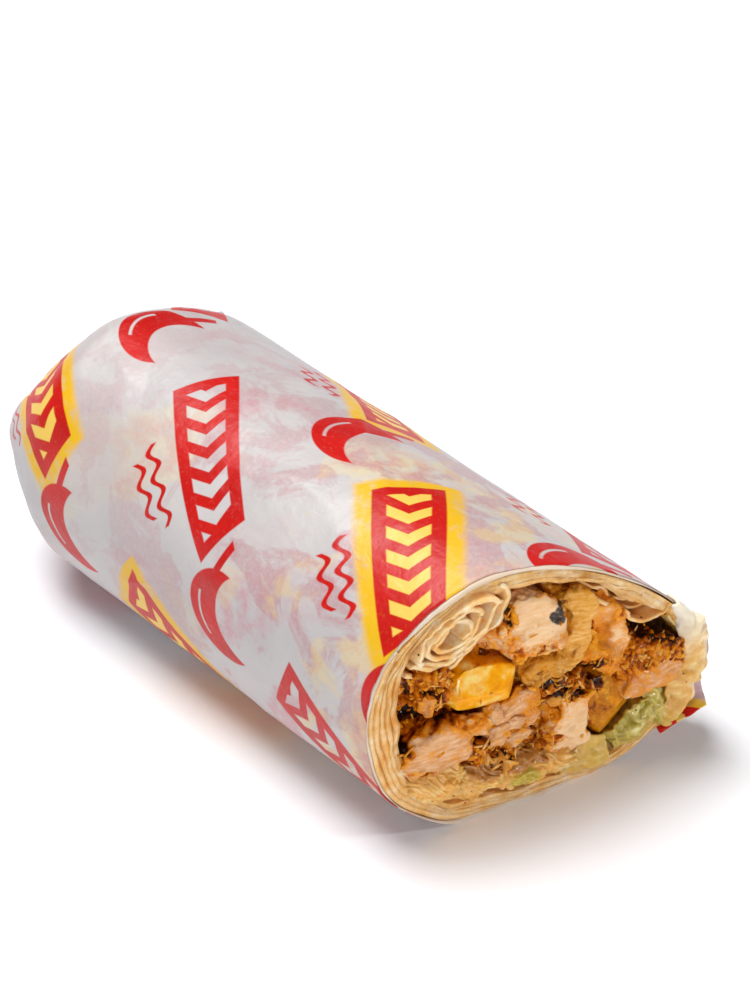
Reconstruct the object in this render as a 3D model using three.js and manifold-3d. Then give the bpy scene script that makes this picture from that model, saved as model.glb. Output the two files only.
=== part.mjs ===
// Half of a rolled grilled chicken sandwich: thin flatbread wound round a packed filling, wrapped in
// greaseproof paper whose far end is folded shut, and cut through on a slant.
// Millimetres. +X runs along the roll towards the cut face, +Z is up, and the roll lies on its flat side.
// The origin is on the table, under the middle of the whole.
import * as THREE from "three";
import { mergeVertices } from "three/addons/utils/BufferGeometryUtils.js";
import Module from "manifold-3d";

const wasm = await Module();
wasm.setup();

// ---------------------------------------------------------------- driving dimensions
const ROLL_WIDTH = 61;
const ROLL_HEIGHT = 52;
const ROLL_LENGTH = 112; // from the folded nose to the cut, along the middle
const CUT_BIAS = THREE.MathUtils.degToRad(18); // the cut is turned this far from square
const GAP = 0.3; // kept between touching pieces

const PAPER_THICK = 0.8; // the plies of the wrapper together
const PAPER_NOSE = 2.6; // and where they are folded over each other at the nose
const PAPER_PROUD = 0.7; // the paper's edge stands this far past the bread
const FOLD_STEP = 0.8; // a ply folded over the nose stands this much higher

const BREAD_PLY = 0.9;
const BREAD_TURNS = 2.45;
const BREAD_START = 12; // from the nose
const FILLING_START = 14;
const FILLING_SUNK = 3.6; // the loose filling lies this far behind the cut

const AROUND = 36; // points round the roll

// The roll's outline square to its axis, as shares of its width and height, from the upper left down, under
// and back over the top. The upper right is pressed down, and the underside is flat where it rests.
const SECTION = [
  [-0.42, 0.82],
  [-0.48, 0.68],
  [-0.5, 0.48],
  [-0.46, 0.24],
  [-0.36, 0.085],
  [-0.25, 0.0],
  [0.22, 0.0],
  [0.355, 0.1],
  [0.46, 0.235],
  [0.5, 0.4],
  [0.41, 0.59],
  [0.27, 0.77],
  [0.08, 0.925],
  [-0.12, 1.0],
  [-0.28, 0.955],
];

// The closed end: its height over the table and its shift across, how tall and wide the roll is there as
// shares of its full size, and how far it takes to reach the full size above, below and at the sides.
const NOSE = { z: 26.5, shift: 4, tall: 0.12, wide: 0.82, over: 19, under: 19.5, beside: 20, round: 1.38 };

// ---------------------------------------------------------------- the roll's own space
const NOSE_X = -ROLL_LENGTH / 2;
const CUT_X = NOSE_X + ROLL_LENGTH;

const outlineCurve = new THREE.CatmullRomCurve3(
  SECTION.map(([y, z]) => new THREE.Vector3(y * ROLL_WIDTH, z * ROLL_HEIGHT, 0)),
  true,
  "centripetal",
);

// A point of the outline at a share of the way round, moved inwards by inset.
function outlinePoint(share, inset) {
  const at = share - Math.floor(share);
  const point = outlineCurve.getPointAt(at);
  const along = outlineCurve.getTangentAt(at);
  return [point.x - along.y * inset, Math.max(point.y, 0) + along.x * inset];
}

// 0 at the nose to 1 where the roll has its full size, rounded like a superellipse.
function swell(distance, run) {
  const t = THREE.MathUtils.clamp(distance / run, 0, 1);
  return Math.pow(1 - Math.pow(1 - t, NOSE.round), 1 / NOSE.round);
}

// From the roll's own space (s along from the nose, y across, z up) to the part's frame. The closed end is
// narrowed by the distance from the nose, less lag. Stations lean over until they are parallel to the cut.
function place(s, y, z, lag = 0) {
  const run = z > NOSE.z ? NOSE.over : NOSE.under;
  const tall = NOSE.tall + (1 - NOSE.tall) * swell(s - lag, run);
  const wide = NOSE.wide + (1 - NOSE.wide) * swell(s - lag, NOSE.beside);
  const across = y * wide + NOSE.shift * (1 - swell(s, NOSE.beside));
  const x = NOSE_X + s * (1 + (across * Math.tan(CUT_BIAS)) / ROLL_LENGTH);
  return new THREE.Vector3(x, across, Math.max(NOSE.z + (z - NOSE.z) * tall, 0));
}

// From the cut face (u across it, v up) and w along the roll, out of it, to the part's frame.
function onCut(u, v, w) {
  return new THREE.Vector3(CUT_X + u * Math.sin(CUT_BIAS) + w, u * Math.cos(CUT_BIAS), v);
}

// ---------------------------------------------------------------- meshes and solids
function solidOf(geometry) {
  const merged = mergeVertices(geometry, 1e-4);
  return new wasm.Manifold(
    new wasm.Mesh({
      numProp: 3,
      vertProperties: new Float32Array(merged.attributes.position.array),
      triVerts: new Uint32Array(merged.index.array),
    }),
  );
}

function geometryFromSolid(solid) {
  const { vertProperties, triVerts } = solid.getMesh();
  const geometry = new THREE.BufferGeometry();
  geometry.setAttribute("position", new THREE.BufferAttribute(new Float32Array(vertProperties), 3));
  geometry.setIndex(new THREE.BufferAttribute(new Uint32Array(triVerts), 1));
  geometry.computeVertexNormals();
  return geometry;
}

// The largest body of a solid, without the scraps that a cut leaves.
function largestBody(solid) {
  return solid.decompose().reduce((best, body) => (body.volume() > best.volume() ? body : best));
}

// A solid through rings of points. Each ring has the points of the polygon flat, which turns left as seen
// from the last ring. The first and last rings are closed flat.
function solidThrough(rings, flat) {
  const count = flat.length;
  const last = (rings.length - 1) * count;
  const triangles = [];
  for (let r = 0; r + 1 < rings.length; r++) {
    for (let i = 0; i < count; i++) {
      const a = r * count + i;
      const b = r * count + ((i + 1) % count);
      triangles.push([a, b, a + count], [b, b + count, a + count]);
    }
  }
  const corners = flat.map(([x, y]) => new THREE.Vector2(x, y));
  for (const [a, b, c] of THREE.ShapeUtils.triangulateShape(corners, [])) {
    triangles.push([a, c, b], [last + a, last + b, last + c]);
  }
  const geometry = new THREE.BufferGeometry().setFromPoints(rings.flat());
  geometry.setIndex(triangles.flat());
  return solidOf(geometry);
}

// An outline, which may change along the roll, carried through the stations.
function runThrough(outlineAt, stations, lag) {
  const rings = stations.map((s) => outlineAt(s).map(([y, z]) => place(s, y, z, lag)));
  return solidThrough(rings, outlineAt(ROLL_LENGTH));
}

function wholeOutline(insetAt) {
  return (s) => Array.from({ length: AROUND }, (_, i) => outlinePoint(i / AROUND, insetAt(i / AROUND, s)));
}

// ---------------------------------------------------------------- food shapes
// Seeded draws, and a smooth bumpy height made of sines: the same on every run.
function draws(seed) {
  let state = (seed * 2654435761) % 4294967296;
  return () => {
    state = (state * 1664525 + 1013904223) % 4294967296;
    return state / 4294967296;
  };
}

function bumps(seed) {
  const draw = draws(seed);
  const waves = Array.from({ length: 7 }, () => ({
    way: new THREE.Vector3(draw() - 0.5, draw() - 0.5, draw() - 0.5).normalize(),
    pace: 2.2 + 3.6 * draw(),
    start: draw() * Math.PI * 2,
  }));
  const rise = (p) => ({ way, pace, start }) => Math.sin(way.dot(p) * pace + start);
  return (p) => waves.map(rise(p)).reduce((sum, height) => sum + height) / waves.length;
}

// A lump of food at the cut: centre u, v, size wide and tall, turned in the plane of the cut, from the front
// depth to the back one. The knife has sliced its front flat. Grown by grow, it is that much fatter all over.
function lump(piece, grow = 0) {
  const { u, v, wide, tall, seed } = piece;
  const { front = 0.4, back = -20, turn = 0, rough = 0.34, block = 2.8, detail = 3 } = piece;
  const sphere = new THREE.IcosahedronGeometry(1, detail);
  sphere.deleteAttribute("normal");
  sphere.deleteAttribute("uv");
  const geometry = mergeVertices(sphere, 1e-4);
  const height = bumps(seed);
  const spot = geometry.attributes.position;
  const p = new THREE.Vector3();
  const deep = front - back;
  const middle = front - deep * 0.36;
  for (let i = 0; i < spot.count; i++) {
    p.fromBufferAttribute(spot, i);
    const square = (Math.abs(p.x) ** block + Math.abs(p.y) ** block + Math.abs(p.z) ** block) ** (-1 / block);
    const reach = square * (1 + rough * height(p));
    const a = p.x * reach * (wide / 2 + grow);
    const b = p.y * reach * (tall / 2 + grow);
    const w = Math.min(middle + p.z * reach * (deep * 0.64 + grow), front + grow);
    const across = u + a * Math.cos(turn) - b * Math.sin(turn);
    const up = v + a * Math.sin(turn) + b * Math.cos(turn);
    p.copy(onCut(across, up, w));
    spot.setXYZ(i, p.x, p.y, p.z);
  }
  return solidOf(geometry);
}

// A sheet or strip of food that runs into the roll: a line of points u, v on the cut, thickened, and carried
// from the front depth to the back one with a sway.
function sheet(piece, grow = 0) {
  const { line, thick, front = 0.6, back = -20, sway = 0.5, count = 16 } = piece;
  const curve = new THREE.CatmullRomCurve3(line.map(([u, v]) => new THREE.Vector3(u, v, 0)));
  const half = thick / 2 + grow;
  const left = [];
  const right = [];
  for (let i = 0; i <= count; i++) {
    const point = curve.getPointAt(i / count);
    const along = curve.getTangentAt(i / count);
    if (i === 0) point.addScaledVector(along, -grow);
    if (i === count) point.addScaledVector(along, grow);
    left.push([point.x - along.y * half, point.y + along.x * half]);
    right.push([point.x + along.y * half, point.y - along.x * half]);
  }
  const outline = [...right, ...left.reverse()];
  const depths = [back - grow, back / 2, front + grow];
  const rings = depths.map((w, k) => {
    const aside = sway * (k % 2);
    return outline.map(([u, v]) => onCut(u + aside, v + aside, w));
  });
  return solidThrough(rings, outline);
}

// ---------------------------------------------------------------- the parts
const part = new THREE.Group();

const FINISH = {
  paper: { color: 0xeae4e0, roughness: 0.55 },
  bread: { color: 0xe3cda2, roughness: 0.75 },
  chicken: { color: 0xc98a4b, roughness: 0.5 },
  potato: { color: 0xe0a63c, roughness: 0.45 },
  cabbage: { color: 0xdcd9a0, roughness: 0.35 },
  lettuce: { color: 0xa9b95a, roughness: 0.35 },
  filling: { color: 0xa8622a, roughness: 0.5 },
};

function addPart(name, finish, solid) {
  const material = new THREE.MeshStandardMaterial({ ...FINISH[finish], metalness: 0 });
  const mesh = new THREE.Mesh(geometryFromSolid(solid), material);
  mesh.name = name;
  part.add(mesh);
}

// Greaseproof paper: a sleeve drawn tight round the roll and folded shut at the nose. Two of its plies fold
// over the nose on slanting creases, and the last ply's corner stands off beside the cut.
const NOSE_LAG = 1.6; // the inside narrows this much later than the outside
const PAPER_STATIONS = [0, 0.8, 2.4, 5, 8.5, 13, 18, 22, ROLL_LENGTH + PAPER_PROUD];
const NOSE_FOLDS = [
  { from: 0.72, to: 0.88, reach: 15 },
  { from: 0.2, to: 0.36, reach: 12 },
];

function foldStep(share, s) {
  const under = NOSE_FOLDS.some(({ from, to, reach }) => {
    const edge = from + (to - from) * (s / reach);
    return s < reach && share > edge && share < to + 0.12;
  });
  return under ? -FOLD_STEP : 0;
}

// The corner is a thin flap, level with the table, with its root in the sleeve's wall: points u, v, w.
const CORNER = { edge: [22.5, 4.6, 0.8], tip: [31.6, 5, 0.4], side: [34.6, 6.6, -4], root: [26.4, 7.4, -15] };
const CORNER_THICK = 0.7;

function looseCorner() {
  const under = [CORNER.edge, CORNER.tip, CORNER.side, CORNER.root].map(([u, v, w]) => onCut(u, v, w));
  const over = under.map((point) => point.clone().add(new THREE.Vector3(0, 0, CORNER_THICK)));
  return solidThrough([under, over], under.map(({ x, y }) => [x, y]));
}

function paperSleeve() {
  const outside = runThrough(wholeOutline(foldStep), PAPER_STATIONS, 0);
  const innerStations = [PAPER_NOSE, ...PAPER_STATIONS.filter((s) => s > PAPER_NOSE), ROLL_LENGTH + 6];
  const inside = runThrough(wholeOutline(() => PAPER_THICK), innerStations, NOSE_LAG);
  return outside.add(looseCorner()).subtract(inside);
}

// Flatbread: one thin sheet wound round the filling.
const BREAD_STATIONS = [BREAD_START, 15, 18, 22, ROLL_LENGTH];
const BREAD_INSET = PAPER_THICK + GAP;
const BREAD_PITCH = BREAD_PLY + GAP;

function woundBread() {
  const steps = Math.round(AROUND * BREAD_TURNS);
  const outer = [];
  const inner = [];
  for (let i = 0; i <= steps; i++) {
    const inset = BREAD_INSET + (BREAD_PITCH * i) / AROUND;
    outer.push(outlinePoint(i / AROUND, inset));
    inner.push(outlinePoint(i / AROUND, inset + BREAD_PLY));
  }
  const ribbon = [...outer, ...inner.reverse()];
  return runThrough(() => ribbon, BREAD_STATIONS, NOSE_LAG);
}

// The space inside the bread. It steps where the sheet ends.
function room(end) {
  const whole = Math.floor(BREAD_TURNS);
  const turnsAt = (share) => share + (share + whole <= BREAD_TURNS ? whole + 1 : whole);
  const stepped = wholeOutline((share) => BREAD_INSET + BREAD_PITCH * turnsAt(share));
  return runThrough(stepped, [FILLING_START, 17, 22, end], NOSE_LAG);
}

// The pieces that the knife went through. Each gives way to the ones before it.
const chicken = (name, spot) => ({ name, finish: "chicken", ...spot });
const potato = (name, spot) => ({ name, finish: "potato", rough: 0.22, ...spot });

const PIECES = [
  chicken("chicken_top", { u: -3.4, v: 39.2, wide: 12.5, tall: 13, front: 1.6, seed: 3 }),
  chicken("chicken_right", { u: 19.4, v: 22, wide: 13, tall: 14.6, front: 1.8, seed: 8 }),
  chicken("chicken_left", { u: -18.6, v: 18.4, wide: 14, tall: 9.6, front: 0.8, turn: 0.12, seed: 5 }),
  potato("potato_left", { u: -11, v: 28.8, wide: 11.4, tall: 8.8, front: 2, turn: -0.1, seed: 12 }),
  chicken("chicken_tall", { u: 11, v: 30, wide: 7.8, tall: 16, front: 0.9, turn: 0.08, seed: 15 }),
  chicken("chicken_low", { u: 4.7, v: 16.4, wide: 8.2, tall: 11.6, front: 1.4, turn: -0.2, seed: 31 }),
  chicken("chicken_middle", { u: -4.6, v: 20.8, wide: 9, tall: 8.4, front: 1.2, turn: 0.2, seed: 36 }),
  chicken("chicken_edge", { u: -20.4, v: 32.6, wide: 8, tall: 9.4, seed: 27, detail: 2 }),
  potato("potato_right", { u: 13.2, v: 14, wide: 9.6, tall: 12, front: 0.6, turn: 0.3, seed: 41 }),
  chicken("chicken_small", { u: 5.6, v: 9.4, wide: 6, tall: 6.6, back: -14, seed: 59, detail: 2 }),
  chicken("chicken_charred", { u: 3.4, v: 23.4, wide: 8.4, tall: 4.6, back: -14, seed: 53, detail: 2 }),
  chicken("chicken_shreds", { u: -8.2, v: 13.2, wide: 11, tall: 7.6, front: 0.2, seed: 47, detail: 2 }),
];

// Sheets and strips between the pieces, each by the line that the knife shows.
const SHEETS = [
  {
    name: "potato_strip",
    finish: "potato",
    line: [[3.4, 44.2], [6.2, 39], [5.4, 33], [2.4, 28.6], [-3.2, 27.6]],
    thick: 4.4,
    front: 1,
  },
  {
    name: "cabbage_side",
    finish: "cabbage",
    line: [[26, 29], [27.1, 24], [27.2, 17], [25.4, 11], [23, 12.4]],
    thick: 1.3,
    front: 1.6,
  },
  {
    name: "bread_coil",
    finish: "bread",
    line: [[-24.4, 34.6], [-21.4, 40.4], [-16, 44], [-10.6, 44.6], [-11.6, 41.6], [-16.4, 40.2], [-18.8, 37]],
    thick: 1.2,
    front: 0.8,
    count: 22,
  },
  {
    name: "bread_fold",
    finish: "bread",
    line: [[7.6, 41], [12.6, 38], [16.8, 33.8], [19.8, 29.6]],
    thick: 0.9,
    front: -0.6,
    count: 12,
  },
  {
    name: "lettuce",
    finish: "lettuce",
    line: [[19.2, 13.4], [20.6, 9.6], [17.6, 6.6], [13.6, 5.6], [12.4, 7.4], [16, 8.6]],
    thick: 1.1,
    front: 1,
  },
  {
    name: "cabbage_under",
    finish: "cabbage",
    line: [[11, 5.6], [7.4, 5.2], [2, 5.6], [-4, 5.4], [-10, 6.2], [-10.6, 8], [-5, 7.8], [1, 8.2]],
    thick: 1.2,
    front: 0.8,
    count: 22,
  },
  {
    name: "cabbage_left",
    finish: "cabbage",
    line: [
      [-12.6, 6.4],
      [-17.4, 6.6],
      [-21, 8.6],
      [-20.4, 10.2],
      [-16.4, 9],
      [-13, 9.2],
      [-13.4, 11.4],
      [-18, 11.6],
      [-22.4, 12.8],
    ],
    thick: 1.1,
    front: 0.8,
    count: 24,
  },
];

const kept = room(ROLL_LENGTH + 4);
const taken = [];
const clearances = []; // plainer and fatter, for the loose filling
const COARSE = 0.75;

function packPieces(pieces, shape) {
  for (const piece of pieces) {
    let solid = shape(piece).intersect(kept);
    for (const other of taken) solid = solid.subtract(other);
    addPart(piece.name, piece.finish, largestBody(solid));
    taken.push(shape(piece, GAP));
    clearances.push(shape === lump ? lump({ ...piece, detail: 2 }, COARSE) : sheet(piece, GAP));
  }
}

// The rest of the filling: chopped chicken and sauce packed behind and between the pieces, with an empty
// fold of bread at the upper right and small bits that show in the gaps.
const HOLLOW = { u: 14.5, v: 38, wide: 19, tall: 11, seed: 2, front: 4, back: -12, turn: -0.75, rough: 0.1 };
const BITS = { count: 6, across: 20, low: 9, high: 40, size: 4 };

function looseFilling() {
  const draw = draws(77);
  let solid = room(ROLL_LENGTH - FILLING_SUNK);
  for (let i = 0; i < BITS.count; i++) {
    const u = (draw() * 2 - 1) * BITS.across;
    const v = BITS.low + draw() * (BITS.high - BITS.low);
    const wide = BITS.size * (0.8 + draw());
    const tall = BITS.size * (0.8 + draw());
    const bit = { u, v, wide, tall, seed: 80 + i, front: -0.8 - draw(), back: -9, detail: 1 };
    solid = solid.add(lump(bit).intersect(kept));
  }
  solid = solid.subtract(lump(HOLLOW));
  for (const other of clearances) solid = solid.subtract(other);
  return largestBody(solid);
}

addPart("paper_wrapper", "paper", paperSleeve());
addPart("flatbread", "bread", woundBread());
packPieces(PIECES, lump);
packPieces(SHEETS, sheet);
addPart("filling", "filling", looseFilling());

// The origin goes under the middle of the whole.
const bounds = new THREE.Box3().setFromObject(part);
const middle = bounds.getCenter(new THREE.Vector3());
for (const mesh of part.children) mesh.geometry.translate(-middle.x, -middle.y, -bounds.min.z);

export default part;
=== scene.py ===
# Half of a rolled grilled chicken sandwich: flatbread wound round a packed filling, in printed greaseproof
# paper, lying on its side with the knife cut towards the camera. Sizes are in millimetres until a mesh is
# finished, where MM turns them into metres.
import math
import random

import bmesh
import bpy
import numpy as np
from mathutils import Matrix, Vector, noise
from mathutils.bvhtree import BVHTree


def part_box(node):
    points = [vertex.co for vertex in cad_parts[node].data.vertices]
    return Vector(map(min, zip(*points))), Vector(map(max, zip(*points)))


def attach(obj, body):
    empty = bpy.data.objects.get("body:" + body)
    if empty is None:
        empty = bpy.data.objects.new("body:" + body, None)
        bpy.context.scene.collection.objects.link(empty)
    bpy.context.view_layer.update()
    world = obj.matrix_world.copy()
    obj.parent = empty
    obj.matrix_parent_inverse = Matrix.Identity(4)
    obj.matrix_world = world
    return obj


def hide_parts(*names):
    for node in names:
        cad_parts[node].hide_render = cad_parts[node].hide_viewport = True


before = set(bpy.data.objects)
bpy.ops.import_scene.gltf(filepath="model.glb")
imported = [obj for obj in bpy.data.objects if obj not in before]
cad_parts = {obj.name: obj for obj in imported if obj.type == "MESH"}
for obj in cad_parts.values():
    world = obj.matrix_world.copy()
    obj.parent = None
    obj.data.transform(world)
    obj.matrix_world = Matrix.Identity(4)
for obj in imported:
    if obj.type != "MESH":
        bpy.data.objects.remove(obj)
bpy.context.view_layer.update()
MM = 0.001

# ---------------- the roll's outline and its closed end
# Everything in the roll follows one outline, flat below where it rests and pressed down at the upper right.
# The closed end narrows to a low wide fold, and the knife cut is turned 18 degrees from square.
ROLL_WIDTH, ROLL_HEIGHT, ROLL_LENGTH = 61.0, 52.0, 112.0
CUT_BIAS = math.radians(18)
SECTION = [
    (-0.42, 0.82), (-0.48, 0.68), (-0.5, 0.48), (-0.46, 0.24), (-0.36, 0.085), (-0.25, 0.0), (0.22, 0.0),
    (0.355, 0.1), (0.46, 0.235), (0.5, 0.4), (0.41, 0.59), (0.27, 0.77), (0.08, 0.925), (-0.12, 1.0),
    (-0.28, 0.955),
]
NOSE_Z, NOSE_SHIFT, NOSE_TALL, NOSE_WIDE, NOSE_ROUND = 26.5, 4.0, 0.12, 0.82, 1.38
NOSE_OVER, NOSE_UNDER, NOSE_BESIDE = 19.0, 19.5, 20.0
NOSE_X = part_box("paper_wrapper")[0].x / MM
MIDDLE_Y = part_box("paper_wrapper")[0].y / MM + ROLL_WIDTH / 2
CUT_X = NOSE_X + ROLL_LENGTH


def smooth_line(points, steps=80, closed=False):
    """Dense points of a centripetal curve through the given ones."""
    given = np.array(points, float)
    if closed:
        given = np.concatenate([given[-1:], given, given[:2]])
    else:
        given = np.concatenate([[2 * given[0] - given[1]], given, [2 * given[-1] - given[-2]]])
    t = np.linspace(0, 1, steps, endpoint=False)[:, None]
    found = []
    for a, b, c, d in zip(given, given[1:], given[2:], given[3:]):
        before, here, after = (np.linalg.norm(q - p) ** 0.5 for p, q in ((a, b), (b, c), (c, d)))
        start = ((b - a) / before - (c - a) / (before + here) + (c - b) / here) * here
        end = ((c - b) / here - (d - b) / (here + after) + (d - c) / after) * here
        found.append(b + start * t + (3 * (c - b) - 2 * start - end) * t**2 + (2 * (b - c) + start + end) * t**3)
    return np.concatenate(found + [given[-2][None]])


class Line:
    """A smooth line in a plane, read by distance along it as a share of its length."""

    def __init__(self, points, closed=False):
        self.points = smooth_line(points, closed=closed)
        step = np.diff(self.points, axis=0)
        length = np.hypot(*step.T)
        self.run = np.concatenate([[0], np.cumsum(length)])
        self.length = self.run[-1]
        way = np.gradient(self.points, axis=0)
        self.way = way / np.hypot(*way.T)[:, None]

    def at(self, share, inset=0.0):
        """Points at a share of the length, moved to the left of the line by inset."""
        where = np.asarray(share) * self.length
        x, y, ahead_x, ahead_y = (
            np.interp(where, self.run, values) for values in (*self.points.T, *self.way.T)
        )
        return x - ahead_y * inset, y + ahead_x * inset


OUTLINE = Line(np.array(SECTION) * (ROLL_WIDTH, ROLL_HEIGHT), closed=True)
GIRTH = OUTLINE.length


def swell(distance, run):
    """0 at the nose to 1 where the roll has its full size, rounded like a superellipse."""
    t = np.clip(distance / run, 0, 1)
    return (1 - (1 - t) ** NOSE_ROUND) ** (1 / NOSE_ROUND)


def rows(*columns):
    """Columns of numbers, or one number for a whole column, as rows of points."""
    return np.stack(np.broadcast_arrays(*columns), axis=1)


def place(s, y, z, lag=0.0):
    """From the roll's own space, s along it from the nose, y across and z up, to the part's frame."""
    run = np.where(z > NOSE_Z, NOSE_OVER, NOSE_UNDER)
    tall = NOSE_TALL + (1 - NOSE_TALL) * swell(s - lag, run)
    wide = NOSE_WIDE + (1 - NOSE_WIDE) * swell(s - lag, NOSE_BESIDE)
    across = y * wide + NOSE_SHIFT * (1 - swell(s, NOSE_BESIDE))
    x = NOSE_X + s * (1 + across * math.tan(CUT_BIAS) / ROLL_LENGTH)
    return rows(x, across + MIDDLE_Y, np.maximum(NOSE_Z + (z - NOSE_Z) * tall, 0))


def on_cut(u, v, w):
    """From the cut face, u across it, v up and w out of it along the roll, to the part's frame."""
    u, v, w = (np.atleast_1d(x) for x in (u, v, w))
    return rows(CUT_X + u * math.sin(CUT_BIAS) + w, MIDDLE_Y + u * math.cos(CUT_BIAS), v)


def off_cut(points):
    """The u, v, w of points of the part's frame."""
    u = (points[:, 1] - MIDDLE_Y) / math.cos(CUT_BIAS)
    return u, points[:, 2], points[:, 0] - CUT_X - u * math.sin(CUT_BIAS)


# ---------------- camera, light and floor
# A long lens looks down at the cut from the front right. A large soft light hangs over the table, a weaker
# one fills the cut from the camera's side, a small one gives the wet food its glints, and the table is white.
PICTURE = (750, 1000)
LENS, FILM = 100.0, 36.0
ELEVATION, AZIMUTH, DISTANCE = math.radians(40), math.radians(46.2), 465.0
SEEN_AT, RIM_SIDE = (452, 821), 15.5  # where the picture shows the rim's lower left, and how far left that is
ROOM_LIGHT = 0.1
LAMPS = (  # name, way to it as the operator sees it, distance in m, size in m, watts
    ("overhead", (-0.27, 0.13, 1.0), 1.0, 0.48, 11.3),
    ("front_fill", (0.25, -1.0, 0.24), 0.8, 0.12, 2.3),
    ("side_glint", (1.0, -0.2, 0.7), 0.7, 0.05, 0.9),
)
TABLE_HALF = 4000.0  # half a side of the table top
RIM_POINT = Vector((CUT_X - RIM_SIDE * math.tan(CUT_BIAS), MIDDLE_Y - RIM_SIDE, 0.0))


def to_roll(side, away, up):
    """Turns a direction as the camera's operator sees it on the table to the part's frame."""
    return Vector((
        side * math.cos(AZIMUTH) - away * math.sin(AZIMUTH),
        side * math.sin(AZIMUTH) + away * math.cos(AZIMUTH),
        up,
    ))


focal = LENS / FILM * PICTURE[1]
ahead = to_roll(0, math.cos(ELEVATION), -math.sin(ELEVATION))
right = to_roll(1, 0, 0)
upward = right.cross(ahead)
sight = ahead + right * ((SEEN_AT[0] - PICTURE[0] / 2) / focal) - upward * ((SEEN_AT[1] - PICTURE[1] / 2) / focal)
camera_data = bpy.data.cameras.new("camera")
camera_data.lens, camera_data.sensor_fit, camera_data.sensor_height = LENS, "VERTICAL", FILM
camera_data.clip_start, camera_data.clip_end = 0.01, 10
camera = bpy.data.objects.new("camera", camera_data)
camera.location = (RIM_POINT - sight.normalized() * DISTANCE) * MM
camera.rotation_mode = "QUATERNION"
camera.rotation_quaternion = ahead.to_track_quat("-Z", "Y")
bpy.context.collection.objects.link(camera)
bpy.context.scene.camera = camera
bpy.context.scene.view_settings.view_transform = "Standard"

world = bpy.data.worlds.new("studio")
world.use_nodes = True
world.node_tree.nodes["Background"].inputs["Color"].default_value = (1, 1, 1, 1)
world.node_tree.nodes["Background"].inputs["Strength"].default_value = ROOM_LIGHT
bpy.context.scene.world = world

for name, way, far, size, power in LAMPS:
    way = to_roll(*way)
    lamp = bpy.data.lights.new(name, "AREA")
    lamp.size, lamp.energy = size, power
    light = bpy.data.objects.new(name, lamp)
    light.location = way.normalized() * far
    light.rotation_mode = "QUATERNION"
    light.rotation_quaternion = (-way).to_track_quat("-Z", "Y")
    bpy.context.collection.objects.link(light)


def paint(code):
    """A paint chart's colour code as Blender's linear colour."""
    shares = (int(code[i : i + 2], 16) / 255 for i in (1, 3, 5))
    return (*(x / 12.92 if x <= 0.04045 else ((x + 0.055) / 1.055) ** 2.4 for x in shares), 1)


class Finish:
    """A material being made. Its nodes read the piece's own place, or an attribute of its mesh."""

    def __init__(self, name, roughness=0.5):
        self.material = bpy.data.materials.new(name)
        self.material.use_nodes = True
        self.tree = self.material.node_tree
        self.shader = self.tree.nodes["Principled BSDF"]
        self.place = self.add("ShaderNodeTexCoord").outputs["Object"]
        self.set(Roughness=roughness)

    def wire(self, socket, value):
        if isinstance(value, bpy.types.NodeSocket):
            self.tree.links.new(value, socket)
        else:
            socket.default_value = value

    def add(self, kind, inputs=(), **settings):
        node = self.tree.nodes.new(kind)
        for key, value in settings.items():
            setattr(node, key, value)
        for key, value in dict(inputs).items():
            self.wire(node.inputs[key], value)
        return node

    def set(self, **inputs):
        for key, value in inputs.items():
            self.wire(self.shader.inputs[key.replace("_", " ")], value)

    def calc(self, operation, a, b=0.0):
        return self.add("ShaderNodeMath", {0: a, 1: b}, operation=operation).outputs[0]

    def plus(self, a, b):
        return self.calc("ADD", a, b)

    def minus(self, a, b):
        return self.calc("SUBTRACT", a, b)

    def times(self, a, b):
        return self.calc("MULTIPLY", a, b)

    def attribute(self, name):
        return self.add("ShaderNodeAttribute", attribute_name=name).outputs["Fac"]

    def scaled(self, x, y, z, turn=0.0):
        """The place stretched, for a pattern that is longer one way."""
        inputs = {"Vector": self.place, "Scale": (x, y, z), "Rotation": (0, 0, turn)}
        return self.add("ShaderNodeMapping", inputs).outputs[0]

    def grain(self, size, detail=3.0, roughness=0.55, distortion=0.0, where=None):
        """Smooth noise from 0 to 1 with features of about size mm."""
        inputs = {"Vector": where or self.place, "Scale": 1 / (size * MM), "Detail": detail}
        inputs |= {"Roughness": roughness, "Distortion": distortion}
        return self.add("ShaderNodeTexNoise", inputs).outputs["Fac"]

    def cells(self, size, where=None):
        """The distance to the middle of the nearest cell, with cells of about size mm."""
        inputs = {"Vector": where or self.place, "Scale": 1 / (size * MM)}
        return self.add("ShaderNodeTexVoronoi", inputs).outputs["Distance"]

    def ease(self, value, low, high, start=0.0, end=1.0):
        """start below low to end above high, eased between."""
        node = self.add("ShaderNodeMapRange", interpolation_type="SMOOTHSTEP")
        for socket, x in zip(node.inputs, (value, low, high, start, end)):
            self.wire(socket, x)
        return node.outputs[0]

    def blend(self, share, first, second):
        """The first colour where share is 0, the second where it is 1."""
        node = self.add("ShaderNodeMix", data_type="RGBA")
        for socket, x in ((0, share), (6, first), (7, second)):
            self.wire(node.inputs[socket], paint(x) if isinstance(x, str) else x)
        return node.outputs[2]

    def relief(self, height, strength, depth, under=None):
        """Fine relief of depth mm."""
        inputs = {"Height": height, "Strength": strength, "Distance": depth * MM}
        if under is not None:
            inputs["Normal"] = under
        return self.add("ShaderNodeBump", inputs).outputs[0]


def shades(finish, value, *stops):
    """A colour for each value, by stops of value and colour code."""
    node = finish.add("ShaderNodeValToRGB", {"Fac": value})
    ramp = node.color_ramp
    while len(ramp.elements) < len(stops):
        ramp.elements.new(1.0)
    for element, (at, code) in zip(ramp.elements, stops):
        element.position, element.color = at, paint(code)
    return node.outputs["Color"]


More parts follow.
